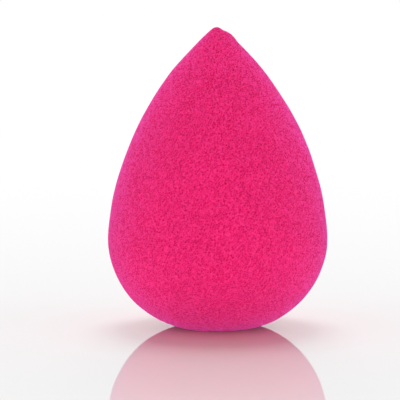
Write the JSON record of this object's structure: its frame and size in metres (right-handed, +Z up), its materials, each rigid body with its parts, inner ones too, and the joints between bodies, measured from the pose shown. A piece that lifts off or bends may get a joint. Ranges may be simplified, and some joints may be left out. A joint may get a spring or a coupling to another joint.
{
  "type": "makeup sponge",
  "caption": "Teardrop makeup sponge of soft moulded foam, with a pointed tip, a round belly and a small flat foot, for dabbing and blending make-up.",
  "frame": {"origin": "centre of the flat foot that the sponge stands on", "axes": "+Z up the axis from the foot to the tip; the form is round about Z, so X and Y are free, and -Y faces the viewer of the picture"},
  "size_m": [0.0436, 0.0436, 0.06],
  "materials": {
    "skin_foam": "matt hot pink foam skin with fine open pores",
    "core_foam": "matt pink open-cell foam, with larger cells than the skin"
  },
  "bodies": {
    "root": {"foam_skin": "skin_foam", "foam_core": "core_foam"}
  },
  "joints": []
}
